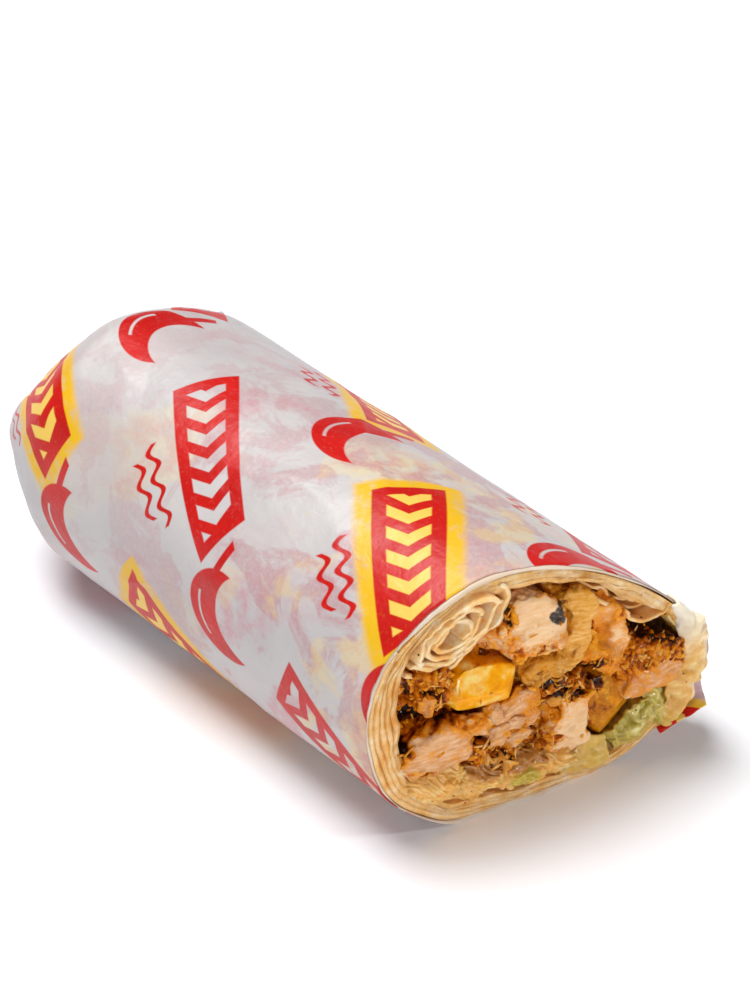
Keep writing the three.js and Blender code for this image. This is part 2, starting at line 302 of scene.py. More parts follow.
def finish_mesh(bm, name, material, values=()):
    """Links a finished mesh, with its vertices in millimetres, as a piece of the sandwich."""
    bmesh.ops.scale(bm, vec=(MM, MM, MM), verts=bm.verts)
    mesh = bpy.data.meshes.new(name)
    bm.to_mesh(mesh)
    bm.free()
    for key, numbers in dict(values).items():
        mesh.attributes.new(key, "FLOAT", "POINT").data.foreach_set("value", np.asarray(numbers, np.float32))
    mesh.shade_smooth()
    mesh.materials.append(material)
    piece = bpy.data.objects.new(name, mesh)
    bpy.context.collection.objects.link(piece)
    return piece


table_finish = Finish("white_table", roughness=0.6)
table_finish.set(Base_Color=shades(table_finish, table_finish.grain(60), (0.3, "#f3f5f9"), (0.7, "#f8f9fc")))
bm = bmesh.new()
bmesh.ops.create_grid(bm, x_segments=1, y_segments=1, size=TABLE_HALF)
finish_mesh(bm, "table", table_finish.material)


# ---------------- greaseproof paper
# One sheet of white waxed paper drawn tight round the roll, lapped underneath at the right and folded shut
# at the nose. It is thin enough for the print of the ply below to show through as a pale ghost.
PAPER_THICK = 0.14
PAPER_AROUND, PAPER_ALONG = 300, 160
PAPER_LAP = (-0.60, 0.445)  # shares of the way round where the sheet starts and ends
PAPER_STEP = 0.22  # the start lies this much deeper than the end
NOSE_CLOSE = 5.0  # this much of the sheet closes the nose
NOSE_FOLDS = ((0.72, 0.88, 15.0), (0.2, 0.36, 12.0))  # shares of the way round at a fold's ends, and its reach
FOLD_STEP = 0.7
SEAM_DROOP = 0.9  # how far the nose's seam sinks at its far end


def fuzz(points, pace, seed, octaves=2):
    """Smooth seeded noise, about -1 to 1, at rows of points; pace is one number or one for each axis."""
    moved = np.asarray(points, float) * pace + np.array([17.3, 5.1, 9.7]) * seed
    return np.array([noise.fractal(Vector(p), 0.9, 2.1, octaves) for p in moved])


def eased(value, low, high):
    t = np.clip((np.asarray(value, float) - low) / (high - low), 0, 1)
    return t * t * (3 - 2 * t)


def flat_grid(across, along):
    """A grid from 0 to 1 both ways, and its vertices' two numbers."""
    bm = bmesh.new()
    bmesh.ops.create_grid(bm, x_segments=across, y_segments=along, size=0.5)
    spots = np.array([v.co for v in bm.verts]) + 0.5
    return bm, spots[:, 0], spots[:, 1]


def move_to(bm, points):
    for vert, point in zip(bm.verts, points):
        vert.co = point


def give_thickness(piece, thick_mm):
    """Makes a sheet solid, half of its thickness on each side."""
    solid = piece.modifiers.new("thickness", "SOLIDIFY")
    solid.thickness, solid.offset = thick_mm * MM, 0


def front_edge(share):
    """How far the paper's front edge stands past the cut: back over the top, forward at the lower left."""
    keys = (0.0, 0.08, 0.16, 0.22, 0.3, 0.4, 0.5, 0.6, 0.72, 0.8, 0.9, 1.0)
    out = (-0.6, -0.3, 0.2, 0.5, -0.2, -0.6, -0.4, -0.5, -0.4, -0.5, -0.6, -0.6)
    return np.interp(np.mod(share, 1), keys, out)


def wrinkles(share, s):
    """How far the paper stands off the roll: slack swells, long soft creases and small crumples."""
    y, z = OUTLINE.at(np.mod(share, 1))
    flat = rows(s, y, z)
    slack = 0.3 * fuzz(flat, (1 / 38, 1 / 24, 1 / 24), 1)
    slanted = rows(s - 0.4 * y + 0.4 * z, y + 0.45 * s, z - 0.3 * s)
    crease = (1 - np.abs(fuzz(slanted, (1 / 60, 1 / 18, 1 / 18), 2, 1)) * 4.0).clip(0) ** 2
    here = eased(fuzz(flat, 1 / 28, 3), -0.1, 0.35)
    crumple = 0.07 * fuzz(flat, (1 / 7, 1 / 5, 1 / 5), 4, 3)
    return 0.2 + slack + 0.45 * crease * here + crumple


def fold_step(share, s):
    """The plies that go under a fold at the nose lie deeper."""
    depth = np.zeros_like(s)
    for start, end, reach in NOSE_FOLDS:
        edge = start + (end - start) * (s / reach)
        past = eased(np.mod(share, 1), edge - 0.004, edge + 0.004) * (np.mod(share, 1) < end + 0.12)
        depth = np.maximum(depth, past * (1 - eased(s, reach * 0.8, reach)))
    return depth * FOLD_STEP


def wrap(share, s, inset):
    """A point of a ply of paper, on the roll's outside."""
    y, z = OUTLINE.at(np.mod(share, 1))
    ends = fuzz(rows(s, y, z), (1 / 22, 1 / 8, 1 / 8), 5)
    shut = np.clip(1 + np.minimum(s, 0) / NOSE_CLOSE, 0, 1)
    onto = np.maximum(s, 0)
    stand = wrinkles(share, s) * (0.35 + 0.65 * eased(s, 0, 20)) * (1 - 0.9 * eased(s, 88, 109))
    stand = stand + 0.45 * (1 - eased(s, 0, 30)) * ends
    y, z = OUTLINE.at(np.mod(share, 1), inset + fold_step(share, onto) - stand)
    spots = place(onto, y, z)
    seam = NOSE_Z - SEAM_DROOP * eased(spots[:, 1], 22, 28)
    spots[:, 2] = seam + (spots[:, 2] - seam) * shut
    spots[:, 0] += 0.4 * (1 - shut)
    spots[:, 2] = np.maximum(spots[:, 2], PAPER_THICK / 2 + 0.03 + 0.5 * np.maximum(inset - PAPER_STEP, 0))
    return spots


paper_finish = Finish("printed_greaseproof", roughness=0.42)
f = paper_finish
around_mm, along_mm = f.attribute("around"), f.attribute("along")


def turned(f, x, y, degrees):
    """x and y turned about their origin."""
    c, s = math.cos(math.radians(degrees)), math.sin(math.radians(degrees))
    a = f.plus(f.times(x, c), f.times(y, -s))
    b = f.plus(f.times(x, s), f.times(y, c))
    return a, b


def repeats(f, x, y, width, tall, shift_x, shift_y):
    """x and y within a repeat of the print, from its middle, and the number of its row."""
    row_of = f.calc("DIVIDE", f.plus(y, shift_y), tall)
    row = f.calc("FLOOR", row_of)
    moved = f.plus(f.plus(x, shift_x), f.times(row, width / 2))
    inside_x = f.minus(f.calc("FRACT", f.calc("DIVIDE", moved, width)), 0.5)
    inside_y = f.minus(f.calc("FRACT", row_of), 0.5)
    return f.times(inside_x, width), f.times(inside_y, tall), row


def inside(f, distance, soft=0.18):
    """1 where a distance in mm is under 0, with the soft edge of ink."""
    return f.ease(distance, -soft, soft, 1.0, 0.0)


def bar_shape(f, x, y, half_long, half_tall, lean=0.0):
    """The distance to a leaning bar."""
    leaned = f.plus(x, f.times(y, lean))
    dx = f.minus(f.calc("ABSOLUTE", leaned), half_long)
    dy = f.minus(f.calc("ABSOLUTE", y), half_tall)
    return f.calc("MAXIMUM", dx, dy)


def disc(f, x, y, at_x, at_y, radius, squeeze=1.0):
    """The distance to a disc, squeezed up and down."""
    dx = f.minus(x, at_x)
    dy = f.times(f.minus(y, at_y), squeeze)
    square = f.plus(f.times(dx, dx), f.times(dy, dy))
    return f.minus(f.calc("SQRT", square), radius)


PRINT_TURN = -52
PRINT_WIDE, PRINT_TALL, PRINT_SHIFT = 62.0, 31.0, (14.0, 9.0)
TAG_HALF, TAG_LEAN, TAG_HALO = (17.5, 5.4), 0.32, 2.6
BAR_FIELD, BAR_PITCH, BAR_BEND, BAR_SHARE = (15.2, 3.2), 5.2, 0.8, 0.26
CHILLI, CHILLI_SCOOP, CHILLI_ROUND = (19.5, -3.0), (4.4, 6.2), 9.2
WAVES = ((-6.4, 8.0), (-9.6, 5.6))  # how far below the tag's middle, and half their length


def print_masks(f, x, y, soft=0.18):
    """The masks of the red ink, the yellow ink and the yellow halo, in millimetres of the flat sheet."""
    x, y = turned(f, x, y, PRINT_TURN)
    x, y, row = repeats(f, x, y, PRINT_WIDE, PRINT_TALL, *PRINT_SHIFT)
    odd = f.minus(1.0, f.calc("ABSOLUTE", f.calc("MODULO", row, 2.0)))
    # the tag: a leaning red bar, with a field of pale bent bars in it
    tx, ty = f.plus(x, 10.0), f.minus(y, 3.5)
    tag = bar_shape(f, tx, ty, *TAG_HALF, TAG_LEAN)
    bent = f.plus(tx, f.times(f.calc("ABSOLUTE", ty), BAR_BEND))
    stripe = f.calc("ABSOLUTE", f.minus(f.calc("FRACT", f.calc("DIVIDE", bent, BAR_PITCH)), 0.5))
    stripe = f.times(f.minus(stripe, BAR_SHARE), BAR_PITCH)
    bars = f.calc("MAXIMUM", stripe, bar_shape(f, tx, ty, *BAR_FIELD, TAG_LEAN))
    red = f.times(inside(f, tag, soft), f.minus(1.0, inside(f, bars, soft)))
    halo = inside(f, f.minus(tag, TAG_HALO), 0.9)
    # the chilli: a fat crescent with a stalk
    cx, cy = f.minus(x, CHILLI[0]), f.minus(y, CHILLI[1])
    body = disc(f, cx, cy, 0.0, 0.0, CHILLI_ROUND, 1.15)
    scoop = disc(f, cx, cy, *CHILLI_SCOOP, CHILLI_ROUND)
    pepper = f.calc("MAXIMUM", body, f.times(scoop, -1.0))
    stalk = bar_shape(f, f.plus(cx, 8.6), f.minus(cy, 6.4), 0.9, 2.8, 0.5)
    glint = disc(f, cx, cy, 1.0, 1.6, 8.4, 1.1)
    glint = f.minus(f.calc("ABSOLUTE", glint), 0.28)
    glint = f.calc("MAXIMUM", glint, disc(f, cx, cy, -3.6, -5.0, 4.4))
    pepper = f.calc("MAXIMUM", pepper, f.times(glint, -1.0))
    pepper = f.calc("MINIMUM", pepper, stalk)
    red = f.calc("MAXIMUM", red, inside(f, pepper, soft))
    # the waves: two red strokes beside the tag
    for at_y, half in WAVES:
        wx = f.plus(x, 8.0)
        wave = f.times(f.calc("SINE", f.times(wx, 1.25)), 0.9)
        wy = f.minus(f.minus(y, at_y), wave)
        stroke = bar_shape(f, wx, wy, half, 0.55)
        red = f.calc("MAXIMUM", red, inside(f, stroke, soft))
    yellow = f.times(inside(f, bars, soft), odd)
    halo = f.times(halo, odd)
    return red, yellow, halo


mottle = f.grain(9, 4, 0.6)
base = shades(f, f.grain(22, 3), (0.3, "#b9b3b3"), (0.52, "#c3bdbc"), (0.75, "#cbc5c3"))
near_cut = f.ease(along_mm, 15.0, 95.0, 0.3, 1.0)
# ghosts of the plies below, mirrored and blurred by the wax
wobble = f.times(f.minus(f.grain(4, 3, 0.7), 0.5), 7.0)
ghost_x = f.plus(f.times(around_mm, -1.0), f.plus(wobble, 37.0))
ghost_y = f.plus(along_mm, f.minus(24.0, wobble))
ghost_red, _, ghost_halo = print_masks(f, ghost_x, ghost_y, 1.6)
patch = f.ease(f.grain(26, 2), 0.38, 0.62, 0.25, 1.0)
clinging = f.times(f.times(patch, near_cut), f.ease(f.grain(2.2, 4, 0.7), 0.3, 0.62, 0.35, 1.0))
base = f.blend(f.times(f.times(ghost_halo, 0.4), clinging), base, "#f0d878")
base = f.blend(f.times(f.times(ghost_red, 0.55), clinging), base, "#c95f74")
blush = f.ease(f.grain(14, 5, 0.62, distortion=0.6, where=f.scaled(1, 1, 1, 1.1)), 0.49, 0.555)
blush = f.times(f.times(blush, near_cut), f.ease(f.grain(0.8, 4, 0.75), 0.3, 0.62, 0.45, 1.0))
base = f.blend(f.times(blush, 0.55), base, "#b8757c")
grease = f.ease(f.grain(12, 4, 0.6, distortion=0.4, where=f.scaled(1, 1, 1, 0.8)), 0.53, 0.62)
base = f.blend(f.times(f.times(grease, f.ease(along_mm, 45.0, 100.0)), 0.45), base, "#e3c67c")
rim = f.times(f.ease(along_mm, 104.0, 112.5), f.ease(f.grain(5, 3), 0.4, 0.6))
base = f.blend(f.times(rim, 0.45), base, "#d8a27e")
red_ink, yellow_ink, halo_ink = print_masks(f, around_mm, along_mm)
uneven = f.ease(f.grain(0.7, 2), 0.2, 0.45, 0.9, 1.0)
smear = f.ease(f.grain(3, 4, 0.7), 0.3, 0.5, 0.55, 1.0)
base = f.blend(f.times(halo_ink, smear), base, "#e6b41c")
base = f.blend(yellow_ink, base, "#ecc458")
base = f.blend(f.times(red_ink, uneven), base, shades(f, mottle, (0.3, "#b80c06"), (0.7, "#cc140c")))
crinkle = f.relief(f.grain(1.3, 4, 0.7), 0.26, 0.2)
crinkle = f.relief(f.calc("ABSOLUTE", f.minus(f.grain(12, 4, 0.55), 0.5)), 0.55, 1.4, crinkle)
f.set(Base_Color=base, Normal=crinkle, Specular_IOR_Level=0.35)

# one sheet round the roll, lapped at the lower right
bm, gx, gy = flat_grid(PAPER_AROUND, PAPER_ALONG)
share = PAPER_LAP[0] + (PAPER_LAP[1] - PAPER_LAP[0]) * gx
torn = 0.35 * fuzz(rows(share * 40, 0, 0), 1.0, 6, 3)
reach = ROLL_LENGTH + front_edge(share) + torn
s = -NOSE_CLOSE + (reach + NOSE_CLOSE) * gy
move_to(bm, wrap(share, s, PAPER_THICK / 2 + PAPER_STEP * (1 - gx)))
wrapper = finish_mesh(bm, "wrapper_sheet", paper_finish.material, {"around": share * GIRTH, "along": s})
give_thickness(wrapper, PAPER_THICK)
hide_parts("paper_wrapper")
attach(wrapper, "root")

# a second ply that shows its edge over the top and at the lower left of the cut
PLY_FROM, PLY_INSET = 84, 0.38
PLY_AT = (0.0, 0.1, 0.21, 0.36, 0.46, 0.6, 0.68, 0.8, 0.92, 1.0)  # share of the way round
PLY_OUT = (0.5, 0.1, 0.9, 1.6, -0.6, -0.8, 0.3, 1.0, 0.9, 0.5)  # how far it stands past the outer ply there
plain_finish = Finish("plain_greaseproof", roughness=0.42)
f = plain_finish
base = shades(f, f.grain(12, 4), (0.3, "#cfb79c"), (0.52, "#dcc9b4"), (0.75, "#e6dccf"))
f.set(Base_Color=base, Normal=f.relief(f.grain(1.6, 4, 0.65), 0.2, 0.2), Specular_IOR_Level=0.35)
bm, gx, gy = flat_grid(300, 26)
torn = 0.5 * fuzz(rows(gx * 20, 0, 0), 1.0, 7, 3)
reach = ROLL_LENGTH + front_edge(gx) + np.interp(gx, PLY_AT, PLY_OUT) + torn
move_to(bm, wrap(gx, PLY_FROM + (reach - PLY_FROM) * gy, PLY_INSET))
ply = finish_mesh(bm, "wrapper_inner_ply", plain_finish.material)
give_thickness(ply, PAPER_THICK)
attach(ply, "root")

# the loose corner of the sheet beside the cut, at the lower right
CORNER = ((22.5, 4.9, 0.9), (31.8, 5.7, 0.5), (34.4, 7.6, -4.0), (26.4, 8.6, -15.0))  # u, v, w of its corners
bm, gx, gy = flat_grid(40, 40)
a, b, c, d = (np.array(p) for p in CORNER)
near_side, far_side = (np.outer(1 - gx, one) + np.outer(gx, other) for one, other in ((a, b), (d, c)))
flat = near_side * (1 - gy)[:, None] + far_side * gy[:, None]
flat[:, 1] += 0.7 * fuzz(rows(gx * 2.2, gy * 2.2, 0), 1.0, 8) + 1.1 * gx * gx
move_to(bm, on_cut(*flat.T))
corner = finish_mesh(bm, "wrapper_corner", paper_finish.material, {"around": 150 + 12 * gx, "along": 112 - 14 * gy})
give_thickness(corner, PAPER_THICK)
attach(corner, "root")


# ---------------- flatbread
# One thin soft flatbread, baked in brown spots, wound over four times round the filling. The plies are pressed
# together at the cut, where the knife has left their edges uneven, and they sag in pleats over the filling.
BREAD_TURNS, BREAD_PITCH, BREAD_PLY, BREAD_INSET = 4.2, 0.9, 1.1, 0.42
NOSE_LAG, BREAD_START = 1.6, 12.0
PACKED_AT = (0.0, 0.05, 0.1, 0.2, 0.3, 0.45, 0.55, 0.66, 0.78, 0.85, 0.91, 0.96, 1.0)  # share of the way round
PACKED = (0.4, 0.7, 1.0, 1.05, 0.85, 0.65, 0.6, 0.42, 0.36, 0.5, 0.7, 0.5, 0.4)  # how thick the wall is there
BREAD_OUT_AT, BREAD_OUT = (0, 0.1, 0.7, 0.8, 1), (-0.1, 0.3, 0.3, -0.1, -0.1)  # how far it stands past the cut
BREAD_ROOM = 1.3  # a loose ply keeps this far inside the roll


def bread_crumb(name, crumb, toasted):
    """The finish of a thin baked sheet: crumb shades, toasted spots, burnt specks, sauce stains."""
    f = Finish(name, roughness=0.5)
    base = shades(f, f.grain(3.0, 5, 0.65), *zip((0.3, 0.43, 0.56, 0.72), crumb))
    toast = f.ease(f.grain(6, 4, 0.65, where=f.scaled(1, 1, 1, 0.4)), 0.52, 0.72)
    base = f.blend(f.times(toast, toasted), base, "#dc9e50")
    specks = f.ease(f.cells(3.0, where=f.scaled(1, 1, 1, 0.7)), 0.05, 0.1, 1.0, 0.0)
    base = f.blend(f.times(specks, f.ease(f.grain(4, 2), 0.46, 0.52)), base, "#4a2a12")
    stain = f.times(f.ease(f.attribute("stained"), 0.45, 1.0), f.ease(f.grain(4, 4, 0.6), 0.4, 0.6))
    base = f.blend(f.times(stain, 0.7), base, "#cf8a3a")
    oily = f.ease(f.grain(2.6, 4, 0.7, where=f.scaled(0.6, 1, 1, 0.9)), 0.56, 0.66)
    base = f.blend(f.times(oily, 0.3), base, "#d08420")
    f.set(
        Base_Color=base,
        Normal=f.relief(f.grain(0.7, 4, 0.65), 0.5, 0.25, f.relief(f.grain(3.0, 4), 0.5, 0.6)),
        Subsurface_Weight=0.3,
        Subsurface_Scale=0.002,
        Subsurface_Radius=(1.0, 0.75, 0.5),
        Specular_IOR_Level=0.3,
        Specular_Tint=paint("#ffd8a0"),
    )
    return f.material


bread_material = bread_crumb("flatbread_crumb", ("#e49e52", "#efb56e", "#f6c88e", "#fce2be"), 0.25)
# painted light: the coil's crumb shades are lighter than the wall's, to offset the shade between its loose plies
coil_crumb_painted_paler = bread_crumb("flatbread_crumb_painted_paler", ("#f2ae5c", "#f8c480", "#fcd6a2", "#fff0d2"), 0.15)

bm, gx, gy = flat_grid(1100, 30)
share = BREAD_TURNS * gx
y, z = OUTLINE.at(np.mod(share, 1))
turn = rows(y / ROLL_WIDTH, z / ROLL_WIDTH, 0.37 * share)  # neighbouring plies move alike
uneven = 0.55 * fuzz(turn, (4, 4, 0.7), 11, 3) + 0.1 * fuzz(turn, (12, 12, 12), 12, 2)
s_front = ROLL_LENGTH + np.interp(np.mod(share, 1), BREAD_OUT_AT, BREAD_OUT) + uneven
s = BREAD_START + (s_front - BREAD_START) * (1 - (1 - gy) ** 2.2)
near = np.exp((s - ROLL_LENGTH) / 5.0)
pleats = 1.3 * fuzz(turn, (6, 6, 0.7), 13, 3) * gx * near
loose = fuzz(turn, (6, 6, 9), 14, 2) * (0.03 + 0.09 * near)
outermost = BREAD_INSET + BREAD_PLY / 2
wound = BREAD_PITCH * np.interp(np.mod(share, 1), PACKED_AT, PACKED) * share
y, z = OUTLINE.at(np.mod(share, 1), np.maximum(outermost + wound + pleats - loose, outermost))
move_to(bm, place(s, y, z, NOSE_LAG))
flatbread = finish_mesh(bm, "flatbread_roll", bread_material, {"stained": gx})
give_thickness(flatbread, BREAD_PLY)
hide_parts("flatbread")
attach(flatbread, "root")


def keep_inside(u, v, inset):
    """Points of the cut, moved straight back where they stand out of the roll."""
    around = np.linspace(0, 1, 240, endpoint=False)
    rim, skin = (rows(*OUTLINE.at(around, depth)) for depth in (inset, 0.0))
    out = (skin - rim) / inset
    spots = rows(u * math.cos(CUT_BIAS), v)
    nearest = ((spots[:, :1] - rim[:, 0]) ** 2 + (spots[:, 1:] - rim[:, 1]) ** 2).argmin(axis=1)
    past = np.maximum(((spots - rim[nearest]) * out[nearest]).sum(axis=1), 0)
    spots = spots - past[:, None] * out[nearest]
    return spots[:, 0] / math.cos(CUT_BIAS), spots[:, 1]


def ruffle(material, line, front, back, thick_mm, seed, wave=0.5, across=90, lip=0.5, pace=4.5):
    """A thin leaf or ply of bread that runs into the roll behind a line on the cut."""
    path = Line(line)
    bm, gx, gy = flat_grid(across, 26)
    w = back + (front - back) * (1 - (1 - gy) ** 1.6)
    run = gx * path.length
    spots = rows(run, w, 0)
    off = wave * fuzz(spots, (1 / pace, 1 / 8, 1), seed, 2)
    u, v = path.at(gx, off)
    w = w + lip * fuzz(spots, (1.6 / pace, 1 / 9, 1), seed + 0.5, 3) * gy
    move_to(bm, on_cut(*keep_inside(u, v, BREAD_ROOM), w))
    piece = finish_mesh(bm, "ruffle", material, {"green": 0 * gx})
    give_thickness(piece, thick_mm)
    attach(piece, "root")
    return piece


def join(pieces, name):
    """Several meshes as one piece, their live modifiers applied."""
    depsgraph = bpy.context.evaluated_depsgraph_get()
    bm = bmesh.new()
    material = pieces[0].data.materials[0]
    for piece in pieces:
        bm.from_mesh(bpy.data.meshes.new_from_object(piece.evaluated_get(depsgraph)))
    mesh = bpy.data.meshes.new(name)
    bm.to_mesh(mesh)
    bm.free()
    mesh.materials.clear()
    mesh.materials.append(material)
    for piece in pieces:
        bpy.data.objects.remove(piece)
    whole = bpy.data.objects.new(name, mesh)
    bpy.context.collection.objects.link(whole)
    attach(whole, "root")
    return whole


# The end of the bread, rolled up on itself in a flattened coil at the upper left. Its crumb is painted paler than
# the wall's to make up for the shade between its loose plies, and two more plies lie loose under it.
COIL_TURNS, COIL_LEAN = 3.3, math.radians(36)
COIL_OUTER, COIL_INNER = (-15.6, 43.6), (-17.2, 43.0)  # middles of the first and the last turn
COIL_LONG, COIL_SHORT = 9.6, 4.6
coil_line = []
for i in range(60):
    t = i / 59
    angle = math.radians(20) - 2 * math.pi * COIL_TURNS * t
    shrink = 1 - 0.76 * t
    a, b = COIL_LONG * shrink * math.cos(angle), COIL_SHORT * shrink * math.sin(angle)
    coil_line.append((
        COIL_OUTER[0] + (COIL_INNER[0] - COIL_OUTER[0]) * t + a * math.cos(COIL_LEAN) - b * math.sin(COIL_LEAN),
        COIL_OUTER[1] + (COIL_INNER[1] - COIL_OUTER[1]) * t + a * math.sin(COIL_LEAN) + b * math.cos(COIL_LEAN),
    ))
coils = [
    ruffle(coil_crumb_painted_paler, coil_line, 0.9, -20, 0.85, 20, wave=0.45, lip=1.1, pace=7, across=420),
    ruffle(coil_crumb_painted_paler, [(-24.2, 38.6), (-20.0, 36.4), (-15.4, 38.4), (-11.4, 42.0), (-8.2, 46.4)],
           0.4, -20, 0.8, 21, wave=0.7, lip=0.9, pace=6),
    ruffle(coil_crumb_painted_paler, [(-25.0, 36.6), (-20.8, 34.2), (-16.2, 35.4), (-12.0, 39.4), (-9.6, 43.4)],
           -0.6, -20, 0.8, 22, wave=0.8, lip=0.9, pace=6),
]
coil = join(coils, "bread_coil_plies")
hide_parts("bread_coil")

# Loose plies of the same bread round the hollow pocket at the upper right, torn apart by the knife.
folds = [
    ruffle(bread_material, [(8.2, 40.2), (10.6, 38.2), (13.6, 36.0), (15.4, 33.2), (18.0, 31.8), (21.0, 32.6),
                            (23.0, 34.6)], 0.7, -18, 0.6, 31, wave=0.4),
    ruffle(bread_material, [(4.6, 45.6), (8.8, 43.8), (12.6, 41.0), (15.6, 39.0), (19.4, 36.6), (23.0, 34.4)],
           0.2, -18, 0.5, 32, wave=0.7),
    ruffle(bread_material, [(6.2, 44.0), (9.6, 41.6), (12.4, 38.2), (15.2, 36.8), (18.4, 36.8), (21.2, 34.6)],
           -0.8, -18, 0.5, 33, wave=0.8),
    ruffle(bread_material, [(7.4, 42.2), (10.6, 40.0), (12.8, 35.8), (16.4, 34.0), (20.0, 34.0)],
           -2.0, -18, 0.5, 34, wave=0.9),
]
pocket = join(folds, "bread_pocket_plies")
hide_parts("bread_fold")


# ---------------- grilled chicken
# Pieces of spiced chicken, grilled brown and cut by the knife, so each shows pale fibrous flesh inside a
# crumbly crust of orange-brown marinade that is dark where it caught the fire.
def food_finish(name, flesh, sauce, crust, speck=None, wet=0.2, fibrous=True):
    """Cut flesh where the attribute done is 0, crust where it is 1, and marinade where sauce is high."""
    f = Finish(name)
    done, sauced, top = (f.attribute(key) for key in ("done", "sauce", "top"))
    mottle, fine = f.grain(2.6, 5, 0.62), f.grain(0.7, 4, 0.7)
    fibres = f.grain(1.0, 4, 0.6, where=f.scaled(1.0, 0.22, 1.7, 0.5)) if fibrous else f.grain(3.0, 4, 0.6)
    pale = shades(f, fibres, (0.32, flesh[0]), (0.5, flesh[1]), (0.68, flesh[2]))
    stir = f.plus(f.times(f.minus(mottle, 0.5), 2.2), f.times(f.minus(fine, 0.5), 2.0))
    half = f.plus(f.times(stir, 0.5), 0.5)
    gravy = shades(f, half, (0.2, sauce[0]), (0.5, sauce[1]), (0.8, sauce[2]))
    soaked = f.ease(f.plus(sauced, f.times(stir, 0.8)), 0.3, 0.95)
    base = f.blend(f.times(soaked, 0.94), pale, gravy)
    # painted shade: the crust is painted darker in the hollows between its grains, where the top attribute is low
    grain_hollow_shade = f.times(f.minus(0.42, top), 0.75)  # the crust is darker between its grains
    level = f.plus(f.plus(done, f.times(stir, 0.3)), grain_hollow_shade)
    roast = shades(f, level, *zip((0.3, 0.5, 0.68, 0.86, 1.0), crust))
    base = f.blend(f.ease(f.plus(done, f.times(stir, 0.4)), 0.26, 0.5), base, roast)
    if speck:
        dots = f.times(f.ease(f.cells(2.0), 0.035, 0.08, 1.0, 0.0), f.ease(f.grain(2.2, 2), 0.46, 0.52))
        base = f.blend(f.times(dots, 0.85), base, speck)
    char = f.ease(f.plus(f.attribute("char"), f.minus(f.grain(1.2, 4, 0.7), 0.5)), 0.3, 0.6)
    base = f.blend(char, base, shades(f, f.grain(0.7, 4), (0.35, "#191412"), (0.55, "#423c39"), (0.75, "#8c8582")))
    rough = f.times(f.grain(0.6, 5, 0.72), f.plus(done, 0.3))
    f.set(
        Base_Color=base,
        Roughness=f.ease(f.grain(1.5), 0.35, 0.65, 0.28, 0.5),
        Normal=f.relief(f.plus(rough, f.times(fibres, 0.08)), 0.8, 0.7),
        Subsurface_Weight=0.15,
        Subsurface_Scale=0.0014,
        Subsurface_Radius=(1.0, 0.7, 0.4),
        Specular_IOR_Level=0.32,
        Specular_Tint=paint("#f09838"),
        Coat_Weight=wet,
        Coat_Roughness=0.1,
    )
    return f.material


chicken_finish = food_finish(
    "grilled_chicken",
    ("#ebbb84", "#f0c695", "#f5d2ac"),
    ("#bc6200", "#e48a08", "#fbb240"),
    ("#ffb02c", "#ee8a0c", "#c25e02", "#6e2a00", "#180500"),
    "#3a1a08", 0.14,
)
thigh_finish = food_finish(
    "grilled_thigh",
    ("#cc8c54", "#dca674", "#ebc29c"),
    ("#b05800", "#d88006", "#f2a836"),
    ("#f8a828", "#e4820a", "#b65602", "#642600", "#140400"),
    "#3a1a08", 0.14,
)


def food_copy(node, grain):
    """A fine even mesh of a CAD solid, as a bmesh in millimetres."""
    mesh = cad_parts[node].data.copy()
    mesh.materials.clear()
    bm = bmesh.new()
    bm.from_mesh(mesh)
    bmesh.ops.remove_doubles(bm, verts=bm.verts, dist=1e-5)
    bm.to_mesh(mesh)
    bm.free()
    model = bpy.data.objects.new("lump", mesh)
    bpy.context.collection.objects.link(model)
    even = model.modifiers.new("even", "REMESH")
    even.mode, even.voxel_size = "VOXEL", grain * MM
    depsgraph = bpy.context.evaluated_depsgraph_get()
    fine = bpy.data.meshes.new_from_object(model.evaluated_get(depsgraph))
    bpy.data.objects.remove(model)
    bm = bmesh.new()
    bm.from_mesh(fine)
    for _ in range(3):
        bmesh.ops.smooth_vert(bm, verts=bm.verts, factor=0.5, use_axis_x=True, use_axis_y=True, use_axis_z=True)
    bmesh.ops.scale(bm, vec=(1 / MM,) * 3, verts=bm.verts)
    bm.normal_update()
    return bm


def patches(u, v, spots):
    """1 at the middle of the nearest round patch u, v, half width, half height, 0 at its rim and less outside."""
    best = np.full_like(u, -1.5)
    for at_u, at_v, wide, tall in spots:
        best = np.maximum(best, 1 - np.sqrt(((u - at_u) / wide) ** 2 + ((v - at_v) / tall) ** 2))
    return best


def granules(points, size, turn=0.0, long=1.0):
    """Grains of about size mm, stretched one way on the cut: 1 on top of each and 0 between them."""
    x, y, z = points.T / size
    along, beside = y * math.cos(turn) + z * math.sin(turn), z * math.cos(turn) - y * math.sin(turn)
    return np.array([1 - min(1, 1.3 * noise.voronoi(Vector(p))[0][0]) for p in zip(x, along / long, beside)])


CUT_NORMAL = np.array([math.cos(CUT_BIAS), -math.sin(CUT_BIAS), 0.0])
FOOD_GRAIN = 0.24  # how fine the mesh of a piece is
food = []
crusts = []  # how done each piece is, for the crumbs that stick to it


